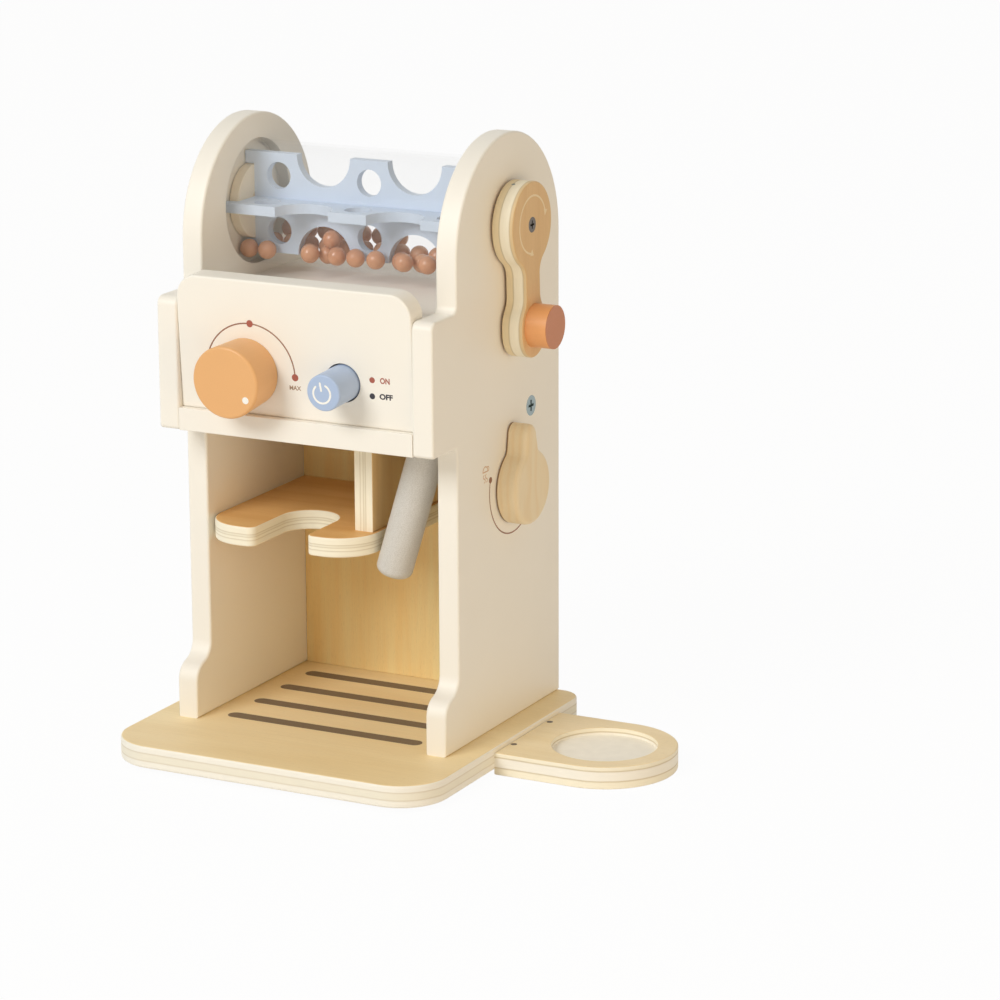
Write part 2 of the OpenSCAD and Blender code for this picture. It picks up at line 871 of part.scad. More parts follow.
// One wing of a blade, drawn as [x, distance from the axis]
module wing() {
    difference() {
        union() {
            translate([-blade_half, 0]) square([2 * blade_half, blade_r]);
            translate([-tab_half, tab_low]) square([2 * tab_half, blade_r - tab_low]);
        }
        for (s = [-1, 1])
            translate([s * scallop_x, scallop_z]) circle(scallop_r);
        for (s = [-1, 0, 1])
            translate([s * hole_x, blade_hole_up]) circle(blade_hole_r);
    }
}

// A blade with two wings. Half of its length is slotted to lap over the other blade.
module blade(slot_side) {
    difference() {
        translate([0, 0, -blade_t / 2]) linear_extrude(blade_t) {
            wing();
            mirror([0, 1]) wing();
        }
        translate([slot_side > 0 ? 0 : -blade_half - over,
                   -blade_t / 2 - fixed_play, -blade_t])
            cube([blade_half + over, blade_t + 2 * fixed_play, 2 * blade_t]);
    }
}

module blade_upright() {
    color(blue_paint)
    translate([0, arch_y, hopper_z]) rotate([90, 0, 0]) blade(1);
}

module blade_level() {
    color(blue_paint)
    translate([0, arch_y, hopper_z]) blade(-1);
}

module hub() {
    difference() {
        cylinder(r = hub_r, h = hub_t);
        translate([0, 0, -over]) cylinder(r = axle_r + fixed_play, h = hub_t + 2 * over);
    }
}

module left_hub() {
    color(birch)
    translate([-blade_half - hub_t, arch_y, hopper_z]) along_x() hub();
}

module right_hub() {
    color(birch)
    translate([blade_half, arch_y, hopper_z]) along_x() hub();
}

module left_axle() {
    color(birch)
    translate([side_play - left_axle_end, arch_y, hopper_z]) along_x()
        cylinder(r = axle_r, h = left_axle_end - side_play - blade_half);
}

module crank_axle() {
    color(birch)
    difference() {
        translate([blade_half, arch_y, hopper_z]) along_x() cylinder(r = axle_r, h = axle_len);
        crank_screw_place() flat_screw_hole(crank_screw_r, crank_screw_len, crank_head_r);
        brad_hole();
    }
}

// A bead at a share of the tube's reach, at angle a from straight down towards the front and at
// distance r from the axis
module bead(share, a, r) {
    translate([share * bead_reach, arch_y - r * sin(a), hopper_z - r * cos(a)])
        sphere(bead_r, $fn = 48);
}

module coffee_beads() {
    color(bead_brown) {
        for (row = bead_rows)
            for (share = row[1])
                bead(share, row[0], bead_ring);
        bead(top_bead[0], top_bead[1], top_bead_ring);
    }
}

// --- Crank -------------------------------------------------------------------------------

// Drawn as [y, z] from the crank's axis, hanging down
module crank_outline() {
    circle(crank_lobe_r, $fn = 120);
    hull()
        for (more = [0, crank_end_more])
            translate([0, -crank_throw - more]) circle(crank_end_r);
    translate([-crank_waist, -crank_throw]) square([2 * crank_waist, crank_throw]);
    for (m = [0, 1])
        mirror([m, 0]) {
            mirror([0, 1]) neck_blend(crank_lobe_r, 8, crank_waist, 0);
            translate([0, -crank_throw]) neck_blend(crank_end_r, 8, crank_waist, 0);
        }
}

module crank_screw_place() {
    translate([crank_face, arch_y, hopper_z]) along_x() children();
}

module crank_knob_place() {
    translate([crank_face, arch_y, hopper_z]) rotate([crank_lean, 0, 0])
        translate([0, 0, -crank_throw]) along_x() children();
}

// The brad pins the crank to its axle: it runs from the rim of the upper lobe into the axle
module brad_place() {
    translate([crank_x + ply_t / 2 - brad_shift, arch_y, hopper_z])
        rotate([brad_angle, 0, 0]) translate([0, 0, brad_foot]) children();
}

module brad_hole() {
    brad_place() translate([0, 0, -fixed_play])
        cylinder(r = brad_r + fixed_play, h = brad_len + over);
}

module crank_arm() {
    color(birch)
    difference() {
        board_x(crank_x, ply_t)
            translate([arch_y, hopper_z]) rotate(crank_lean) crank_outline();
        translate([crank_x - over, arch_y, hopper_z]) along_x()
            cylinder(r = axle_r + fixed_play, h = crank_bore + over);
        crank_screw_place() flat_screw_hole(crank_screw_r, crank_screw_len, crank_head_r);
        crank_knob_place() translate([0, 0, -knob_seat])
            cylinder(r = knob_dowel_r + fixed_play, h = knob_seat + over);
        brad_hole();
    }
}

module crank_knob() {
    color(orange_paint)
    crank_knob_place()
        difference() {
            cylinder(r = crank_knob_r, h = crank_knob_len);
            translate([0, 0, -over])
                cylinder(r = knob_dowel_r + fixed_play, h = crank_knob_len - knob_cap + over);
        }
}

module knob_dowel() {
    color(birch)
    crank_knob_place() translate([0, 0, -knob_seat])
        cylinder(r = knob_dowel_r, h = knob_seat + crank_knob_len - knob_cap);
}

module knob_brad() {
    color(steel)
    brad_place() cylinder(r = brad_r, h = brad_len);
}

module crank_screw() {
    color(steel)
    crank_screw_place() flat_screw(crank_screw_r, crank_screw_len, crank_head_r);
}

// --- Cup holder --------------------------------------------------------------------------

module dowel_place(s) {
    translate([holder_x - dowel_half, holder_back + s * dowel_off, dowel_z]) along_x()
        children();
}

module dowel_holes() {
    for (s = [-1, 1])
        dowel_place(s) cylinder(r = dowel_r + fixed_play, h = 2 * dowel_half);
}

module pin_holes() {
    for (s = [-1, 1])
        translate([pin_x, holder_back + s * dowel_off, 0]) {
            translate([0, 0, pin_low - fixed_play])
                cylinder(r = pin_r + fixed_play, h = ply_t);
            translate([0, 0, ply_t - pin_head_t - fixed_play])
                cylinder(r = pin_head_r + fixed_play, h = pin_head_t + over);
        }
}

module cup_holder() {
    color(birch)
    difference() {
        linear_extrude(ply_t) {
            translate([holder_x, holder_back - holder_w / 2]) square([holder_out, holder_w]);
            translate([holder_x + holder_out, holder_back]) circle(holder_w / 2, $fn = 120);
        }
        translate([holder_x + holder_out, holder_back, holder_floor])
            cylinder(r = cup_r, h = cup_depth + over, $fn = 120);
        dowel_holes();
        pin_holes();
    }
}

module holder_dowels() {
    color(birch)
    difference() {
        for (s = [-1, 1])
            dowel_place(s) translate([0, 0, fixed_play])
                cylinder(r = dowel_r, h = 2 * (dowel_half - fixed_play));
        pin_holes();
    }
}

module holder_pins() {
    color(steel)
    for (s = [-1, 1])
        translate([pin_x, holder_back + s * dowel_off, 0]) {
            translate([0, 0, pin_low]) cylinder(r = pin_r, h = ply_t - pin_low);
            translate([0, 0, ply_t - pin_head_t]) cylinder(r = pin_head_r, h = pin_head_t);
        }
}

// --- Nodes -------------------------------------------------------------------------------

foot_pads();
base_plate();
left_side_panel();
right_side_panel();
back_panel();
ceiling_board();
top_deck();
front_panel();
spring_block();
fork_shelf();
divider();
hopper_tube();
side_screws();
base_screws();
cup_holder();
holder_dowels();
holder_pins();
dial_knob();
dial_screw();
dial_washer();
power_button();
button_spring();
steam_wand();
wand_swivel();
wand_screw();
wand_washer();
steam_knob();
steam_knob_screw();
steam_knob_washer();
blade_upright();
blade_level();
left_hub();
right_hub();
left_axle();
crank_axle();
coffee_beads();
crank_arm();
crank_knob();
knob_dowel();
knob_brad();
crank_screw();
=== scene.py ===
# %% [markdown]
# # A wooden toy coffee maker
#
# The toy is a plywood stand with two arched side panels, a leaning control panel with a dial
# and a power button, a clear hopper with beads and a cranked agitator, a fork shelf, a grey
# steam wand, a steam knob and a round cup holder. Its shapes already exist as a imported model,
# in metres, with +Z up and the front towards -Y. This lesson gives that model its looks: the
# rounded edges of sanded boards, plywood with its plies, paint, clear acrylic and printed marks.
#
# Every node of the model lies where it belongs, so nothing is moved. A node is either given a
# finish as it is, or a copy of its mesh is worked further and then stands for it.

# %% Load the model
import json
import math

import bmesh
import bpy
from mathutils import Matrix, Vector

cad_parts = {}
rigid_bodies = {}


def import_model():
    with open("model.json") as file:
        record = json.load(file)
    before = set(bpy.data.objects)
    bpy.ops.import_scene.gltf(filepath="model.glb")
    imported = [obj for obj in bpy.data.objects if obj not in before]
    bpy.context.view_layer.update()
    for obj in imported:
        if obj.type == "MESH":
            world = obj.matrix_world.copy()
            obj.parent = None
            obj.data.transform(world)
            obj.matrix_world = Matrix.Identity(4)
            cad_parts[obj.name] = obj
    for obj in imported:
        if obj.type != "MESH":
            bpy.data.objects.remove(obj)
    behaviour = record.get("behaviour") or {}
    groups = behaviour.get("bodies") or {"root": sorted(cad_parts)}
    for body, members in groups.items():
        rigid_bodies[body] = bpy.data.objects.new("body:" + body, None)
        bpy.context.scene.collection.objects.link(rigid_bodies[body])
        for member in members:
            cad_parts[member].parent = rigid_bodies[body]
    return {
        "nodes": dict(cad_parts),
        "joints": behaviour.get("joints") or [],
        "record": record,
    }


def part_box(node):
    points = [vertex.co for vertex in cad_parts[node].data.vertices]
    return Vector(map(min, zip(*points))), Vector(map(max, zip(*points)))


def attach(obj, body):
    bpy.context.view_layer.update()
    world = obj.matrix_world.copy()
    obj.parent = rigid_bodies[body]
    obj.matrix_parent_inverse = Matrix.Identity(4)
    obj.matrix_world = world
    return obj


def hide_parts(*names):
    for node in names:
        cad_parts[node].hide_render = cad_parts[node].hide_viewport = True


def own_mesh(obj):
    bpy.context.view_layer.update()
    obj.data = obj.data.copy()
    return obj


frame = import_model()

MM = 0.001
X, Y, Z = range(3)
RIGHT, BACK, UP = (Vector(Matrix.Identity(3)[axis]) for axis in (X, Y, Z))

nodes = frame["nodes"]
joints = {joint["name"]: joint for joint in frame["joints"]}
members = frame["record"]["behaviour"]["bodies"]
body_of = {node: body for body, names in members.items() for node in names}
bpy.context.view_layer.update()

# %% [markdown]
# ## The camera
#
# The camera looks at the front and the right side from a little above, through a long lens,
# so that upright edges stay nearly parallel. It could aim at a target with a constraint, but
# three angles and a place are plain numbers that give the same picture each time: the azimuth
# round the toy, the elevation above the ground, and a very small roll.

# %% Camera
camera_place = Vector((0.748752, -1.329240, 0.499873))
camera_azimuth = math.radians(27.036)
camera_elevation = math.radians(14.633)
camera_roll = math.radians(-0.244)
camera_lens_mm = 140.98
camera_sensor_mm = 36.0


def camera_turn(azimuth, elevation, roll):
    """The camera's axes as columns: right, up and back, before the roll about the view."""
    right = Vector((math.cos(azimuth), math.sin(azimuth), 0))
    level = math.cos(elevation)
    back = Vector((math.sin(azimuth) * level, -math.cos(azimuth) * level, math.sin(elevation)))
    axes = Matrix((right, back.cross(right), back)).transposed()
    return axes @ Matrix.Rotation(roll, 3, "Z")


camera = bpy.data.objects.new("camera", bpy.data.cameras.new("camera"))
bpy.context.scene.collection.objects.link(camera)
camera.data.sensor_width = camera_sensor_mm
camera.data.lens = camera_lens_mm
camera.data.clip_start = 0.05
camera.data.clip_end = 50
turned = camera_turn(camera_azimuth, camera_elevation, camera_roll).to_4x4()
camera.matrix_world = Matrix.Translation(camera_place) @ turned
bpy.context.scene.camera = camera
print("camera at", tuple(round(value, 3) for value in camera.location))

# %% [markdown]
# ## Shader sums as plain Python
#
# A finish is a small network of nodes. Wired by hand, a sum of three noises takes a dozen
# calls, so two helpers keep it readable. A `Wire` is the output of a node, and a sum or a
# product of wires adds the Math node for it. A `Recipe` is one material: it adds any other
# node, and ends in one Principled shader. Every pattern reads Object coordinates, which are
# metres here, so a fibre 0.5 mm wide is 0.5 mm wide on every piece.

# %% Wires and recipes
class Wire:
    """An output of a shader node. Arithmetic on it adds Math nodes to its recipe."""

    def __init__(self, recipe, socket):
        self.recipe = recipe
        self.socket = socket

    def math(self, operation, *values, clamp=False):
        settings = {"operation": operation, "use_clamp": clamp}
        return self.recipe.node("ShaderNodeMath", settings, dict(enumerate(values)))

    def __add__(self, other):
        return self.math("ADD", self, other)

    def __sub__(self, other):
        return self.math("SUBTRACT", self, other)

    def __rsub__(self, other):
        return self.math("SUBTRACT", other, self)

    def __mul__(self, other):
        return self.math("MULTIPLY", self, other)

    def __truediv__(self, other):
        return self.math("DIVIDE", self, other)

    def __abs__(self):
        return self.math("ABSOLUTE", self)

    __radd__ = __add__
    __rmul__ = __mul__

    def step(self, start, end):
        """0 below start, 1 above end and a straight rise between them."""
        return self.math("MULTIPLY", self - start, 1 / (end - start), clamp=True)


class Recipe:
    """One material, built node by node."""

    def __init__(self, name):
        self.material = bpy.data.materials.new(name)
        self.material.use_nodes = True
        self.tree = self.material.node_tree
        self.tree.nodes.clear()
        self.place = self.node("ShaderNodeTexCoord", output="Object")
        self.along = [self.node("ShaderNodeSeparateXYZ", {}, {0: self.place}, axis)
                      for axis in (X, Y, Z)]

    def node(self, kind, settings=None, inputs=None, output=0):
        """Adds a node: its settings, then the values or wires of its sockets."""
        node = self.tree.nodes.new(kind)
        for name, value in (settings or {}).items():
            if name == "stops":
                self.fill_ramp(node.color_ramp, value)
            else:
                setattr(node, name, value)
        for key, value in (inputs or {}).items():
            if isinstance(value, Wire):
                self.tree.links.new(value.socket, node.inputs[key])
            else:
                node.inputs[key].default_value = value
        return Wire(self, node.outputs[output])

    def fill_ramp(self, ramp, stops):
        """Gives a colour ramp its (place, colour) stops."""
        while len(ramp.elements) < len(stops):
            ramp.elements.new(0.5)
        for element, (place, colour) in zip(ramp.elements, stops):
            element.position = place
            element.color = colour

    def noise(self, size, detail=2.0, shift=0.0):
        """Noise about 0.5 whose grains measure size, in millimetres along X, Y and Z."""
        scale = [1 / (length * MM) for length in size]
        settings = {"vector_type": "POINT"}
        inputs = {"Vector": self.place, "Location": (shift, shift, shift), "Scale": scale}
        stretched = self.node("ShaderNodeMapping", settings, inputs)
        inputs = {"Vector": stretched, "Scale": 1.0, "Detail": detail}
        return self.node("ShaderNodeTexNoise", {"noise_dimensions": "3D"}, inputs)

    def blend(self, share, first, second):
        """The first colour where share is 0 and the second where it is 1."""
        inputs = {0: share, 6: first, 7: second}
        return self.node("ShaderNodeMix", {"data_type": "RGBA"}, inputs, 2)

    def shade(self, colour, share):
        """The colour times share: darker below 1."""
        flat = colour if isinstance(colour, Wire) else colour[:3]
        grey = self.node("ShaderNodeCombineXYZ", {}, {X: share, Y: share, Z: share})
        return self.node("ShaderNodeVectorMath", {"operation": "MULTIPLY"}, {0: flat, 1: grey})

    def finish(self, colour, rough, height=None, depth_mm=0.0, **plain):
        """Ends the recipe in a Principled shader. The height, if any, becomes a bump."""
        inputs = {"Base Color": colour, "Roughness": rough}
        inputs.update({name.replace("_", " "): value for name, value in plain.items()})
        if height is not None:
            bump = {"Strength": 1.0, "Distance": depth_mm * MM, "Height": height}
            inputs["Normal"] = self.node("ShaderNodeBump", {}, bump)
        shader = self.node("ShaderNodeBsdfPrincipled", {}, inputs)
        self.close(shader)
        return self.material

    def close(self, shader):
        """Joins a shader to the material's output."""
        output = self.tree.nodes.new("ShaderNodeOutputMaterial")
        self.tree.links.new(shader.socket, output.inputs["Surface"])


def ink(red, green, blue):
    """A colour as it looks on a screen, from 0 to 255, as linear light for a shader."""
    parts = (part / 255 for part in (red, green, blue))
    linear = [part / 12.92 if part <= 0.04045 else ((part + 0.055) / 1.055) ** 2.4
              for part in parts]
    return (*linear, 1.0)


print("cream is", [round(part, 3) for part in ink(248, 242, 230)])

# %% [markdown]
# ## Floor, background and lamps
#
# The toy stands on a pale floor in a bright room. A big soft lamp at the front left is the
# main light. The room fills the rest, and a warm lamp at the right stands for light that comes
# back from a wooden table. The background has to look white without more light on the toy, so
# the floor and the world look white only to the camera, to reflections and through clear
# things. The floor keeps a share of its real shading there, which is the toy's shadow.

# %% Floor and world
floor_half = 6.0
floor_glow = 0.96
room_light = (0.44, 0.412, 0.36, 1.0)
white = (1.0, 1.0, 1.0, 1.0)


def seen_directly(recipe):
    """1 for rays that come from the camera, from a reflection or through a clear piece."""
    kinds = ("Is Camera Ray", "Is Glossy Ray", "Is Transmission Ray")
    camera_ray, glossy, through = (recipe.node("ShaderNodeLightPath", output=kind)
                                   for kind in kinds)
    return (camera_ray + glossy + through).step(0, 1)


floor_recipe = Recipe("floor")
diffuse = floor_recipe.node("ShaderNodeBsdfDiffuse", {}, {"Color": (0.9, 0.9, 0.9, 1.0)})
glow = floor_recipe.node("ShaderNodeEmission", {}, {"Color": white, "Strength": 1.0})
share = seen_directly(floor_recipe) * floor_glow
floor_recipe.close(floor_recipe.node("ShaderNodeMixShader", {}, {0: share, 1: diffuse, 2: glow}))

floor_bm = bmesh.new()
bmesh.ops.create_grid(floor_bm, x_segments=1, y_segments=1, size=floor_half)
floor_mesh = bpy.data.meshes.new("floor")
floor_bm.to_mesh(floor_mesh)
floor_bm.free()
floor_mesh.materials.append(floor_recipe.material)
floor = bpy.data.objects.new("floor", floor_mesh)
bpy.context.scene.collection.objects.link(floor)


class Room(Recipe):
    """The world's own recipe: the room's light, and white where it is seen directly."""

    def __init__(self):
        world = bpy.data.worlds.new("room")
        world.use_nodes = True
        bpy.context.scene.world = world
        self.tree = world.node_tree
        self.tree.nodes.clear()


room = Room()
dim = room.node("ShaderNodeBackground", {}, {"Color": room_light, "Strength": 1.0})
bright = room.node("ShaderNodeBackground", {}, {"Color": white, "Strength": 1.0})
mixed = room.node("ShaderNodeMixShader", {}, {0: seen_directly(room), 1: dim, 2: bright})
world_output = room.tree.nodes.new("ShaderNodeOutputWorld")
room.tree.links.new(mixed.socket, world_output.inputs["Surface"])
bpy.context.scene.view_settings.view_transform = "Standard"

# %% Lamps
stand_middle = Vector((0.0, 0.0, 0.12))


def lamp(name, azimuth, elevation, distance, size, watts, colour):
    """A square soft lamp that faces the stand. Azimuth 0 is the front and 90 the right."""
    turn, rise = math.radians(azimuth), math.radians(elevation)
    level = math.cos(rise)
    away = Vector((math.sin(turn) * level, -math.cos(turn) * level, math.sin(rise)))
    data = bpy.data.lights.new(name, "AREA")
    data.size = size
    data.energy = watts
    data.color = colour
    holder = bpy.data.objects.new(name, data)
    bpy.context.scene.collection.objects.link(holder)
    aim = (-away).to_track_quat("-Z", "Y").to_matrix().to_4x4()
    holder.matrix_world = Matrix.Translation(stand_middle + away * distance) @ aim
    holder.visible_camera = False


lamp("main_lamp", -18, 34, 1.9, 0.8, 18.0, (0.965, 0.985, 0.99))
lamp("warm_lamp", 66, -4, 0.85, 0.5, 2.0, (1.0, 0.70, 0.36))
print("two lamps and a room of", room_light[:3])

# %% [markdown]
# ## Plywood
#
# Plywood is a stack of thin veneers whose fibres run crosswise in turn. A face shows one
# veneer: golden, with long fibres and fine pores. An edge shows them all as pale bands with
# darker glue lines. A picture could be wrapped round each board, but then the bands would not
# follow a cut-out. Here the finish measures how deep a point lies in the board, so each cut,
# hole and rounded edge shows the right veneer by itself.

# %% Plywood finish
face_skin = 0.03
half_glue = 0.05
pale_ply = ink(252, 244, 222)
grey_ply = ink(243, 235, 212)
tan_ply = ink(228, 202, 158)
glue_edge = ink(212, 196, 164)
white_ply = ink(253, 248, 236)
plain_plies = ((0.34, pale_ply), (0.66, grey_ply), (1.0, pale_ply))
base_plies = ((0.34, white_ply), (0.68, grey_ply), (1.0, white_ply))
holder_plies = ((0.34, pale_ply), (0.80, white_ply), (1.0, pale_ply))
shelf_plies = ((0.33, pale_ply), (0.50, pale_ply), (0.62, grey_ply), (1.0, pale_ply))
crank_plies = ((0.36, ink(240, 222, 184)), (0.84, pale_ply), (1.0, tan_ply))


def ply_stops(plies, contrast):
    """The bands across a board's edge, from one face to the other."""
    outer = Vector(plies[0][1])
    glue = outer.lerp(Vector(glue_edge), contrast)
    shown = [outer.lerp(Vector(colour), contrast) for end, colour in plies]
    stops = [(0.0, shown[0])]
    for (end, colour), before, after in zip(plies, shown, shown[1:]):
        stops += [(end - half_glue, before), (end, glue), (end + half_glue, after)]
    return stops + [(1.0, shown[-1])]


def fibre_size(grain, length, width):
    """The size of fibres that run along the grain axis, in millimetres."""
    return [length if axis == grain else width for axis in (X, Y, Z)]


def plywood(name, board, axis, grain, pale, deep, plies=plain_plies, contrast=1.0, band_mm=9.0):
    """Lacquered plywood. The axis goes through the board and the grain along its faces."""
    low, high = (corner[axis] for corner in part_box(board))
    mix = Recipe(name)
    depth = (mix.along[axis] - low) / (high - low)
    bands = mix.noise(fibre_size(grain, 110, band_mm), detail=3.0).step(0.3, 0.7)
    fibres = mix.noise(fibre_size(grain, 22, 0.55), detail=3.0, shift=3.0)
    pores = mix.noise(fibre_size(grain, 2.4, 0.22), detail=1.0, shift=7.0).step(0.60, 0.70)
    face = mix.blend(bands, pale, deep)
    face = mix.shade(face, 1.05 - 0.10 * fibres - 0.07 * pores)
    wobble = (mix.noise((9, 9, 9), detail=2.0, shift=5.0) - 0.5) * 0.035
    edge = mix.node("ShaderNodeValToRGB", {"stops": ply_stops(plies, contrast)},
                    {0: depth + wobble})
    thin = [0.22 if way == axis else 5.0 for way in (X, Y, Z)]
    streaks = mix.noise(thin, detail=2.0, shift=11.0)
    edge = mix.shade(edge, 1.06 - 0.14 * streaks)
    skin = abs(depth - 0.5).step(0.5 - face_skin, 0.5 - 0.6 * face_skin)
    colour = mix.blend(skin, edge, face)
    relief = fibres * 0.5 + streaks * (1 - skin) * 0.5 - pores * 0.4
    return mix.finish(colour, 0.46 + 0.14 * fibres, relief, 0.03)


base_ply = plywood("base_ply", "base_plate", Z, X, ink(254, 233, 187), ink(247, 222, 171),
                   plies=base_plies, contrast=0.6, band_mm=18.0)
holder_ply = plywood("holder_ply", "cup_holder", Z, X, ink(250, 231, 192), ink(244, 222, 177),
                     plies=holder_plies)
shelf_ply = plywood("shelf_ply", "fork_shelf", Z, X, ink(238, 190, 124), ink(224, 170, 102),
                    plies=shelf_plies, contrast=0.7)
divider_ply = plywood("divider_ply", "divider", X, Z, ink(240, 208, 154), ink(230, 192, 136),
                      plies=shelf_plies, contrast=0.7)
back_ply = plywood("back_ply", "back_panel", Y, Z, ink(255, 237, 180), ink(252, 217, 148))
crank_ply = plywood("crank_ply", "crank_arm", X, Z, ink(231, 195, 143), ink(223, 184, 131),
                    plies=crank_plies)
block_ply = plywood("block_ply", "spring_block", Y, X, ink(230, 200, 150), ink(218, 184, 132))
print("plywood with", len(plain_plies), "plies, the crank's with", len(crank_plies))

# %% [markdown]
# ## Solid wood for the steam knob
#
# The steam knob is cut from a solid pale board. Its annual rings were sawn through nearly
# flat, so they show as long soft contour lines on its face. Rings are shells round a far-off
# axis: a sine of the distance from it, bent by a slow noise, gives them at any cut.

# %% Solid wood finish
ring_pitch_mm = 5.2
# A dark brown for the knob's back edge: painted shade of the thin gap between the knob and the
# side panel.
painted_gap_shade = ink(150, 118, 84)


def solid_wood(name, board):
    """Pale solid wood with long upright contour lines, and a painted shade along the back edge,
    where the knob meets the panel.
    """
    low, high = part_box(board)
    middle = (low + high) / 2
    mix = Recipe(name)
    side = (mix.along[Y] - middle.y) / MM
    across = (mix.along[X] - high.x) / MM
    thick_mm = (high.x - low.x) / MM
    bend = (mix.noise((60, 16, 42), detail=2.0) - 0.5) * 16
    rings = (side * 0.4 + across * 1.6 + bend) * (2 * math.pi / ring_pitch_mm)
    wave = rings.math("SINE", rings) * 0.5 + 0.5
    late = wave * wave
    fibres = mix.noise(fibre_size(Z, 14, 0.4), detail=3.0, shift=2.0)
    face = mix.blend(late, ink(242, 223, 187), ink(240, 217, 176))
    face = mix.shade(face, 1.05 - 0.10 * fibres)
    # The last half millimetre at the back is painted dark, as painted shade of the gap at the
    # panel.
    gap_shade_mask = (across * -1).step(thick_mm - 0.6, thick_mm - 0.4)
    face = mix.blend(gap_shade_mask, face, painted_gap_shade)
    return mix.finish(face, 0.44 + 0.12 * fibres, fibres + late * 0.1, 0.03)


knob_wood = solid_wood("knob_wood", "steam_knob")
print("rings about", ring_pitch_mm, "mm apart")

# %% [markdown]
# ## Paint, stain, metal and acrylic
#
# Sprayed paint on wood is never quite even: it has a slow change of tone, a fine orange-peel
# relief and a roughness that drifts. One function makes every paint, and its numbers make it
# a thick cream paint or a thin stain through which the grain still shows. The wand's grey
# paint has fine light and dark grains in it. Acrylic lets light pass as a nearly clear skin:
# refraction would be truer, but it would throw the beads inside it into shadow.

# %% Paints
def paint(name, colour, tone=0.03, rough=0.42, grain=None, grain_depth=0.0, end=None):
    """Paint on wood. The grain axis shows through by grain_depth, and the end, given as its
    place along the grain and a darker colour, gets that colour as painted shade on the end face."""
    mix = Recipe(name)
    clouds = mix.noise((24, 24, 24), detail=3.0)
    peel = mix.noise((0.55, 0.55, 0.55), detail=2.0, shift=4.0)
    light = 1 + tone - 2 * tone * clouds
    if grain is not None:
        fibres = mix.noise(fibre_size(grain, 18, 0.5), detail=3.0, shift=9.0)
        light = light + grain_depth * (0.5 - fibres)
        peel = peel + fibres
    # An end, if given, is painted darker in its last few tenths of a millimetre: painted shade
    # on the shaded end face.
    if end is not None:
        end_place, end_shade_colour = end
        painted_end_shade = mix.along[grain].step(end_place - 0.3 * MM, end_place - 0.1 * MM)
        colour = mix.blend(painted_end_shade, colour, end_shade_colour)
    rough_wire = rough - 0.05 + 0.1 * clouds
    return mix.finish(mix.shade(colour, light), rough_wire, peel, 0.012)


def speckled_paint(name, dark, light):
    """Grey paint with fine light and dark grains in it."""
    mix = Recipe(name)
    grains = mix.noise((0.35, 0.35, 0.35), detail=1.0)
    clouds = mix.noise((12, 12, 12), detail=2.0, shift=6.0)
    colour = mix.blend(grains.step(0.32, 0.68), dark, light)
    colour = mix.shade(colour, 1.04 - 0.08 * clouds)
    return mix.finish(colour, 0.40 + 0.12 * grains, grains, 0.02)


def beadwood(name, pale, deep):
    """Glossy brown beads, each with a tone of its own."""
    mix = Recipe(name)
    tone = mix.noise((14, 14, 14), detail=0.0, shift=1.0).step(0.3, 0.7)
    clouds = mix.noise((1.6, 1.6, 1.6), detail=2.0, shift=8.0)
    colour = mix.shade(mix.blend(tone, pale, deep), 1.06 - 0.12 * clouds)
    return mix.finish(colour, 0.20 + 0.08 * clouds, clouds, 0.01)


cream_paint = paint("cream_paint", ink(248, 243, 233), tone=0.012, rough=0.46)
orange_paint = paint("orange_paint", ink(234, 178, 118), 0.03, 0.40, Y, 0.05)
knob_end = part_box("crank_knob")[1].x
# The crank knob's end face gets a darker orange as painted shade.
knob_paint = paint("knob_paint", ink(236, 168, 109), 0.03, 0.40, X, 0.06,
                   (knob_end, ink(198, 126, 80)))
blue_paint = paint("blue_paint", ink(176, 195, 226), 0.02, 0.38)
blade_paint = paint("blade_paint", ink(210, 223, 242), 0.03, 0.42, X, 0.04)
grey_paint = speckled_paint("grey_paint", ink(201, 197, 190), ink(217, 214, 209))
bead_brown = beadwood("bead_brown", ink(226, 168, 130), ink(209, 146, 110))
hub_ply = paint("hub_ply", ink(244, 228, 200), 0.03, 0.5, Y, 0.05)
dowel_wood = paint("dowel_wood", ink(232, 204, 160), 0.04, 0.55, X, 0.10)
print("the crank knob's end grain lies at x =", round(knob_end, 4))

# %% Metal, foam and acrylic
def metal(name, colour, rough):
    """Zinc-plated steel with a slightly uneven sheen."""
    mix = Recipe(name)
    clouds = mix.noise((2.2, 2.2, 2.2), detail=3.0)
    scratches = mix.noise((0.15, 2.5, 2.5), detail=1.0, shift=3.0)
    tint = mix.shade(colour, 1.08 - 0.16 * clouds)
    return mix.finish(tint, rough + 0.15 * clouds, scratches, 0.004, Metallic=1.0)


def foam(name, colour):
    """Matt grey foam with fine pores."""
    mix = Recipe(name)
    pores = mix.noise((0.4, 0.4, 0.4), detail=2.0)
    return mix.finish(mix.shade(colour, 1.15 - 0.3 * pores), 0.9 + 0.05 * pores, pores, 0.08)


def acrylic(name, colour, alpha):
    """Clear acrylic: a nearly clear skin that still mirrors the lamps."""
    mix = Recipe(name)
    haze = mix.noise((20, 20, 20), detail=1.0)
    return mix.finish(colour, 0.04 + 0.04 * haze, Alpha=alpha, IOR=1.49)


steel = metal("steel", ink(150, 162, 160), 0.34)
dark_steel = metal("dark_steel", ink(112, 104, 96), 0.38)
rubber = foam("rubber", ink(120, 116, 112))
clear_acrylic = acrylic("clear_acrylic", ink(250, 252, 253), 0.05)
print("metal, foam and acrylic:", steel.name, dark_steel.name, rubber.name, clear_acrylic.name)

# %% Printing inks
def print_ink(name, colour, cover=0.05):
    """Screen-printed ink: matt, with a cover that is a little uneven."""
    mix = Recipe(name)
    patches = mix.noise((1.1, 1.1, 1.1), detail=2.0)
    light = 1 + cover - 2 * cover * patches
    return mix.finish(mix.shade(colour, light), 0.55 + 0.1 * patches, patches, 0.004)


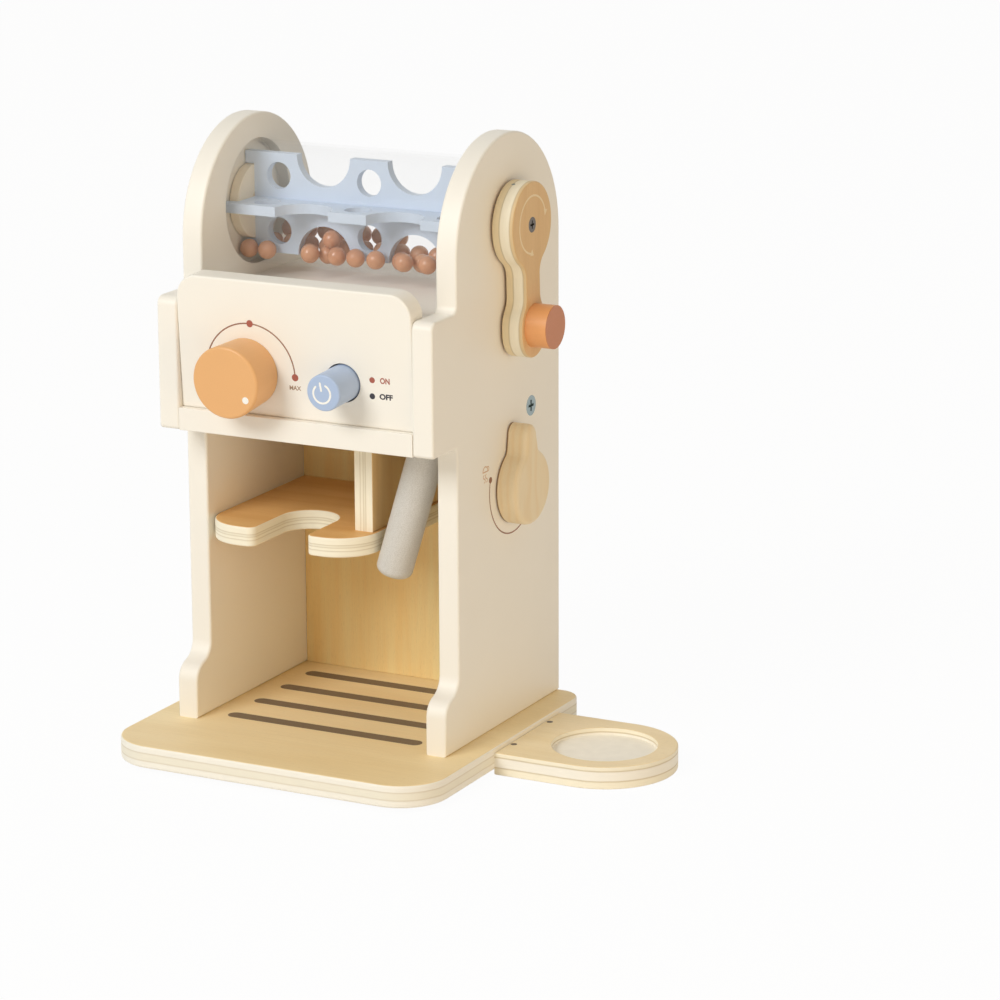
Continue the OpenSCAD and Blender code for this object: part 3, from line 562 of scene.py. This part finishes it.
brown_ink = print_ink("brown_ink", ink(125, 108, 87), 0.06)
red_ink = print_ink("red_ink", ink(170, 94, 78))
word_ink = print_ink("word_ink", ink(150, 106, 84))
faint_ink = print_ink("faint_ink", ink(176, 148, 124))
navy_ink = print_ink("navy_ink", ink(58, 56, 64))
white_ink = print_ink("white_ink", ink(250, 248, 242))
pale_ink = print_ink("pale_ink", ink(243, 221, 184))
icon_ink = print_ink("icon_ink", ink(214, 176, 142))
print(len(bpy.data.materials), "materials")

# %% [markdown]
# ## Sanded boards
#
# A sawn board has knife-sharp edges, and a toy's boards are routed and sanded round. A copy of
# each node's mesh is merged, because the model's meshes are loose triangles, and its flat
# faces become single faces again. The outline of a face is then the largest loop of sharp
# edges in the face's plane, and a bevel of a few steps rounds it. A Bevel modifier would round
# the screw holes too, which stay sharp on the real boards. Weighted normals keep the big flat
# faces flat beside the small round ones.

# %% Board helpers
merge_distance = 0.002 * MM
flat_angle = math.radians(0.2)
sharp_angle = math.radians(35)
plane_slack = 0.01 * MM


def merged_copy(node):
    """A bmesh of the node's shape with whole flat faces and shared corners."""
    bm = bmesh.new()
    bm.from_mesh(nodes[node].data)
    bmesh.ops.remove_doubles(bm, verts=bm.verts, dist=merge_distance)
    bmesh.ops.dissolve_limit(bm, angle_limit=flat_angle, verts=bm.verts, edges=bm.edges)
    return bm


def is_sharp(edge):
    """True where the two faces at the edge meet at more than the sharp angle."""
    return edge.calc_face_angle(0) > sharp_angle


def edge_loops(edges):
    """Groups edges that touch, with the group that spans most first."""
    left = set(edges)
    groups = []
    while left:
        group = [left.pop()]
        for edge in group:
            near = {other for vert in edge.verts for other in vert.link_edges} & left
            left -= near
            group += near
        groups.append(group)
    return sorted(groups, key=loop_span, reverse=True)


def loop_span(edges):
    """The diagonal of the box round a group of edges."""
    places = [vert.co for edge in edges for vert in edge.verts]
    spread = [max(place[axis] for place in places) - min(place[axis] for place in places)
              for axis in (X, Y, Z)]
    return Vector(spread).length


def outlines(bm, normal):
    """The sharp loops in the bmesh's outermost plane along the normal, the largest first."""
    level = max(vert.co.dot(normal) for vert in bm.verts)
    flush = [edge for edge in bm.edges
             if is_sharp(edge) and all(vert.co.dot(normal) > level - plane_slack
                                       for vert in edge.verts)]
    return edge_loops(flush)


def round_over(bm, edges, radius_mm, steps=4):
    """Rounds the edges to a radius, in a few steps."""
    bmesh.ops.bevel(bm, geom=edges, offset=radius_mm * MM, offset_type="OFFSET",
                    segments=steps, profile=0.5, affect="EDGES", material=-1,
                    clamp_overlap=False, loop_slide=False)


def settle(name, bm, material, body, stands_for=()):
    """Makes a piece of a bmesh: shaded smooth up to a crease, on its body, with its slot."""
    for face in bm.faces:
        face.smooth = True
    for edge in bm.edges:
        edge.smooth = not is_sharp(edge)
    mesh = bpy.data.meshes.new(name)
    bm.to_mesh(mesh)
    bm.free()
    mesh.materials.append(material)
    piece = bpy.data.objects.new(name, mesh)
    bpy.context.scene.collection.objects.link(piece)
    weighted = piece.modifiers.new("weighted_normals", "WEIGHTED_NORMAL")
    weighted.keep_sharp = True
    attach(piece, body)
    if stands_for:
        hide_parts(*stands_for)
    return piece


def dress(node, bm, material):
    """Lets a worked copy stand for its node."""
    return settle(node + "_finished", bm, material, body_of[node], [node])


def sanded(node, normals, radius_mm, material, rim_mm=0.0):
    """A copy whose outline is rounded on each face named by its normal. The rim, if any, is
    the largest loop that then still is sharp on the first face."""
    bm = merged_copy(node)
    for normal in normals:
        round_over(bm, outlines(bm, normal)[0], radius_mm)
    if rim_mm:
        round_over(bm, outlines(bm, normals[0])[0], rim_mm, 2)
    return dress(node, bm, material)


print("edges of more than", round(math.degrees(sharp_angle)), "degrees count as sharp")

# %% The stand's boards
panel_normal = Vector(joints["dial_turn"]["axis"])

sanded("base_plate", (UP, -UP), 1.0, base_ply)
sanded("left_side_panel", (RIGHT, -RIGHT), 1.1, cream_paint, rim_mm=0.4)
sanded("right_side_panel", (-RIGHT, RIGHT), 1.1, cream_paint, rim_mm=0.4)
sanded("back_panel", (BACK, -BACK), 0.4, back_ply)
sanded("ceiling_board", (UP, -UP), 0.35, cream_paint)
sanded("top_deck", (UP, -UP), 0.5, cream_paint)
sanded("front_panel", (panel_normal,), 0.9, cream_paint)
sanded("fork_shelf", (UP, -UP), 0.9, shelf_ply)
sanded("divider", (RIGHT, -RIGHT), 0.4, divider_ply)
sanded("cup_holder", (UP, -UP), 0.55, holder_ply, rim_mm=0.5)
sanded("crank_arm", (RIGHT, -RIGHT), 0.7, crank_ply)
sanded("steam_knob", (RIGHT,), 2.4, knob_wood)
print("12 boards sanded")

# %% [markdown]
# ## Turned and small pieces
#
# The dial, the knobs, the wand, the tube and the fasteners are turned pieces whose shape is
# right already. Each is copied and merged so that it shades as one smooth surface with a
# crease only where the real one has an edge, and where a turner would break an edge with
# sandpaper, the sharp edges get a small bevel.

# %% Turned pieces
def eased(node, material, radius_mm=0.0, steps=3):
    """A smooth copy whose sharp edges are all broken by a small radius."""
    bm = merged_copy(node)
    if radius_mm:
        round_over(bm, [edge for edge in bm.edges if is_sharp(edge)], radius_mm, steps)
    return dress(node, bm, material)


eased("dial_knob", orange_paint)
sanded("power_button", (panel_normal,), 0.7, blue_paint)
eased("crank_knob", knob_paint)
eased("steam_wand", grey_paint)
eased("wand_swivel", grey_paint, 0.3)
eased("hopper_tube", clear_acrylic)
eased("coffee_beads", bead_brown)
eased("blade_upright", blade_paint)
eased("blade_level", blade_paint)
eased("left_hub", hub_ply, 0.3)
eased("right_hub", hub_ply, 0.3)
eased("foot_pads", rubber, 0.3)
eased("spring_block", block_ply)
for dowel in ("left_axle", "crank_axle", "knob_dowel", "holder_dowels"):
    eased(dowel, dowel_wood)
for fastener in ("base_screws", "side_screws", "dial_screw", "dial_washer", "wand_screw",
                 "wand_washer", "steam_knob_screw", "steam_knob_washer", "knob_brad"):
    eased(fastener, steel)
eased("crank_screw", dark_steel)
eased("holder_pins", dark_steel)
finished = [item.name for item in bpy.data.objects if item.name.endswith("_finished")]
print(len(finished), "nodes have a finished copy so far")

# %% [markdown]
# ## The button's spring
#
# Behind the power button sits a coil of steel wire that the button presses together. Here it is
# a smooth steel copy with a mesh of its own.

# %% Spring
spring = eased("button_spring", steel)
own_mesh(spring)

# %% [markdown]
# ## Printed marks
#
# The marks are printed: four dark stripes on the base plate, a scale round the dial, a power
# sign, ON and OFF beside their dots, a turning arrow on the crank and a scale at the steam
# knob. They could be part of the paint's pattern, but a mark with its own outline stays crisp
# at any distance. Each is drawn flat in a plane of its own, in millimetres, from discs, bars,
# arcs and letters. All of it then gets the thickness of a film of ink at once.

# %% Drawing tools
ink_film = 0.04
dot_lift = 0.01
disc_corners = 40
arc_step = math.radians(3)


def drawing_plane(origin, across, up):
    """The matrix from a drawing in millimetres to a plane of the toy."""
    axes = Matrix((across, up, across.cross(up))).transposed().to_4x4()
    return Matrix.Translation(origin) @ axes @ Matrix.Scale(MM, 4)


def round_point(middle, radius, degrees):
    """The point of a circle at an angle, anticlockwise from the right."""
    angle = math.radians(degrees)
    return middle + radius * Vector((math.cos(angle), math.sin(angle)))


def disc(bm, x, y, radius, corners=disc_corners, turn=0.0):
    """A dot. It lies a little higher than lines do, because it may cover the end of one."""
    place = Matrix.Translation((x, y, dot_lift)) @ Matrix.Rotation(turn, 4, "Z")
    made = bmesh.ops.create_circle(bm, cap_ends=True, segments=corners, radius=radius,
                                   matrix=place)
    return made["verts"]


def arc(bm, x, y, radius, width, start, end):
    """A strip along a circle between two angles in degrees, anticlockwise."""
    sweep = math.radians(end - start)
    place = Matrix.Translation((x, y, 0)) @ Matrix.Rotation(math.radians(start), 4, "Z")
    ends = [bm.verts.new(place @ Vector((radius + side * width / 2, 0, 0))) for side in (-1, 1)]
    bmesh.ops.spin(bm, geom=[*ends, bm.edges.new(ends)], cent=(x, y, 0), axis=(0, 0, 1),
                   angle=sweep, steps=max(2, round(sweep / arc_step)), use_duplicate=False)


def bar(bm, start, end, width):
    """A strip with round ends: a disc whose far half is pulled away."""
    way = Vector((*end, 0)) - Vector((*start, 0))
    middle = Vector((*start, dot_lift))
    rim = disc(bm, *start, width / 2)
    far = [vert for vert in rim if (vert.co - middle).dot(way) > 0]
    bmesh.ops.translate(bm, vec=way, verts=far)


def word(bm, text, x, y, width, height, weight):
    """Letters fitted into a box with its middle at x, y. The weight makes them bolder."""
    curve = bpy.data.curves.new(text, "FONT")
    curve.body = text
    curve.offset = weight
    holder = bpy.data.objects.new(text, curve)
    bpy.context.scene.collection.objects.link(holder)
    bpy.context.view_layer.update()
    flat = bpy.data.meshes.new_from_object(holder)
    bpy.data.objects.remove(holder)
    before = set(bm.verts)
    bm.from_mesh(flat)
    letters = [vert for vert in bm.verts if vert not in before]
    low = Vector([min(vert.co[axis] for vert in letters) for axis in (X, Y)])
    high = Vector([max(vert.co[axis] for vert in letters) for axis in (X, Y)])
    scale = Matrix.Diagonal((width / (high.x - low.x), height / (high.y - low.y), 1, 1))
    middle = Matrix.Translation((-(low.x + high.x) / 2, -(low.y + high.y) / 2, 0))
    bmesh.ops.transform(bm, matrix=Matrix.Translation((x, y, 0)) @ scale @ middle, verts=letters)


def printed(name, draw, plane, material, body):
    """Draws a mark, gives it the thickness of ink and lays it on its plane."""
    bm = bmesh.new()
    draw(bm)
    bmesh.ops.remove_doubles(bm, verts=bm.verts, dist=0.001)
    bmesh.ops.recalc_face_normals(bm, faces=bm.faces)
    grown = bmesh.ops.extrude_face_region(bm, geom=bm.faces[:])["geom"]
    film = [item for item in grown if isinstance(item, bmesh.types.BMVert)]
    bmesh.ops.translate(bm, vec=(0, 0, ink_film), verts=film)
    bmesh.ops.recalc_face_normals(bm, faces=bm.faces)
    bm.transform(plane)
    return settle(name, bm, material, body)


print("the ink is", ink_film, "mm thick")

# %% Stripes on the base plate
stripe_half = 44.6
stripe_width = 6.3
stripe_places = (-19.2, 2.0, 23.6, 44.6)


def stripes(bm):
    reach = stripe_half - stripe_width / 2
    for y in stripe_places:
        bar(bm, (-reach, y), (reach, y), stripe_width)


base_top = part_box("base_plate")[1].z
base_plane = drawing_plane(Vector((0, 0, base_top)), RIGHT, BACK)
printed("base_stripes", stripes, base_plane, brown_ink, "stand")
print(len(stripe_places), "stripes,", 2 * stripe_half, "mm long")

# %% Marks on the control panel
# The plane's middle is the dial's own, so the scale stays round the dial.
panel_up = panel_normal.cross(RIGHT)
dial_place = Vector(joints["dial_turn"]["pos_m"])
panel_plane = drawing_plane(dial_place, RIGHT, panel_up)
scale_middle = (1.5, -0.3)
scale_r = 20.0
scale_line = 0.55
scale_dots = ((2.1, 19.7), (21.5, -0.3))
on_at = (55.9, 2.2)
off_at = (55.7, -4.3)


def dial_scale(bm):
    arc(bm, *scale_middle, scale_r, scale_line, 0, 175)


def max_mark(bm):
    word(bm, "MAX", scale_r + 1.4, -4.5, 5.2, 1.8, 0.03)


def red_marks(bm):
    """The scale's two dots, and ON with a dot of its own."""
    for dot in scale_dots:
        disc(bm, *dot, 1.45)
    disc(bm, *on_at, 1.2)
    word(bm, "ON", on_at[0] + 5.6, on_at[1] + 0.1, 4.2, 2.4, 0.03)


def off_mark(bm):
    disc(bm, *off_at, 1.2)
    word(bm, "OFF", off_at[0] + 6.1, off_at[1] + 0.2, 5.8, 2.3, 0.04)


printed("dial_scale", dial_scale, panel_plane, word_ink, "stand")
printed("max_mark", max_mark, panel_plane, faint_ink, "stand")
printed("red_marks", red_marks, panel_plane, red_ink, "stand")
printed("off_mark", off_mark, panel_plane, navy_ink, "stand")
print("a scale of", 2 * scale_r, "mm across, with MAX, ON and OFF")

# %% Marks on the dial and the button
def face_plane(node):
    """The drawing plane on the front face of a turned piece in the control panel."""
    low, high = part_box(node)
    middle = (low + high) / 2
    reach = max((nodes[node].matrix_world @ vert.co).dot(panel_normal)
                for vert in nodes[node].data.vertices)
    return drawing_plane(middle + panel_normal * (reach - middle.dot(panel_normal)), RIGHT,
                         panel_up)


dot_at = (9.0, -5.7)
sign_middle = Vector((-0.6, -1.0))
sign_r = 3.75
sign_line = 0.8
sign_turn = 9
sign_gap = 36
sign_bar = (1.3, 4.3)


def dial_dot(bm):
    disc(bm, *dot_at, 1.4)


def power_sign(bm):
    """A ring with a gap at the top and a bar in the gap, turned a little to the left."""
    top = 90 + sign_turn
    ends = (top + sign_gap, top + 360 - sign_gap)
    arc(bm, *sign_middle, sign_r, sign_line, *ends)
    for end in ends:
        disc(bm, *round_point(sign_middle, sign_r, end), sign_line / 2)
    stroke = (round_point(sign_middle, reach, top) for reach in sign_bar)
    bar(bm, *stroke, sign_line)


printed("dial_dot", dial_dot, face_plane("dial_knob"), white_ink, "dial")
printed("power_sign", power_sign, face_plane("power_button"), white_ink, "button")
print("a power sign of", 2 * sign_r, "mm across")

# %% Marks on the right side
crank_joint = Vector(joints["crank_spin"]["pos_m"])
crank_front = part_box("crank_arm")[1].x
crank_plane = drawing_plane(Vector((crank_front, crank_joint.y, crank_joint.z)), BACK, UP)
side_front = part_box("right_side_panel")[1].x
steam_joint = Vector(joints["steam_knob_turn"]["pos_m"])
side_plane = drawing_plane(Vector((side_front, steam_joint.y, steam_joint.z)), BACK, UP)
arrow_middle = Vector((0.5, 0.0))
arrow_r = 11.5
arrow_line = 0.75
arrow_tip = 1.7
arrow_from, arrow_to = 18, 266
steam_middle = Vector((-0.65, 0.4))
steam_r = 20.0
steam_from, steam_to = 163, 380
cup_at = (-24.2, 10.6)
cup_r = 2.1
cup_line = 0.45


def turn_arrow(bm):
    """An arc that ends in three-cornered tips."""
    arc(bm, *arrow_middle, arrow_r, arrow_line, arrow_from, arrow_to)
    for end, way in ((arrow_from, -90), (arrow_to, 90)):
        place = round_point(arrow_middle, arrow_r, end)
        disc(bm, *place, arrow_tip, 3, math.radians(end + way))


def steam_scale(bm):
    arc(bm, *steam_middle, steam_r, scale_line, steam_from, steam_to)
    disc(bm, *round_point(steam_middle, steam_r, steam_from), 1.3)


def steam_sign(bm):
    """A small cup with a handle at the scale's end, upside down over two wisps of steam."""
    x, y = cup_at
    arc(bm, x, y, cup_r, cup_line, 0, 180)
    bar(bm, (x - cup_r, y), (x + cup_r, y), cup_line)
    arc(bm, x + 2.2, y + 0.9, 0.9, 0.4, -80, 130)
    for wisp in (x - 0.9, x + 0.9):
        arc(bm, wisp, y - 1.9, 0.8, 0.4, 90, 270)
        arc(bm, wisp, y - 3.5, 0.8, 0.4, -90, 90)


printed("turn_arrow", turn_arrow, crank_plane, pale_ink, "crank")
printed("steam_scale", steam_scale, side_plane, word_ink, "stand")
printed("steam_sign", steam_sign, side_plane, icon_ink, "stand")
print("an arrow of", 2 * arrow_r, "mm across and a scale of", 2 * steam_r)
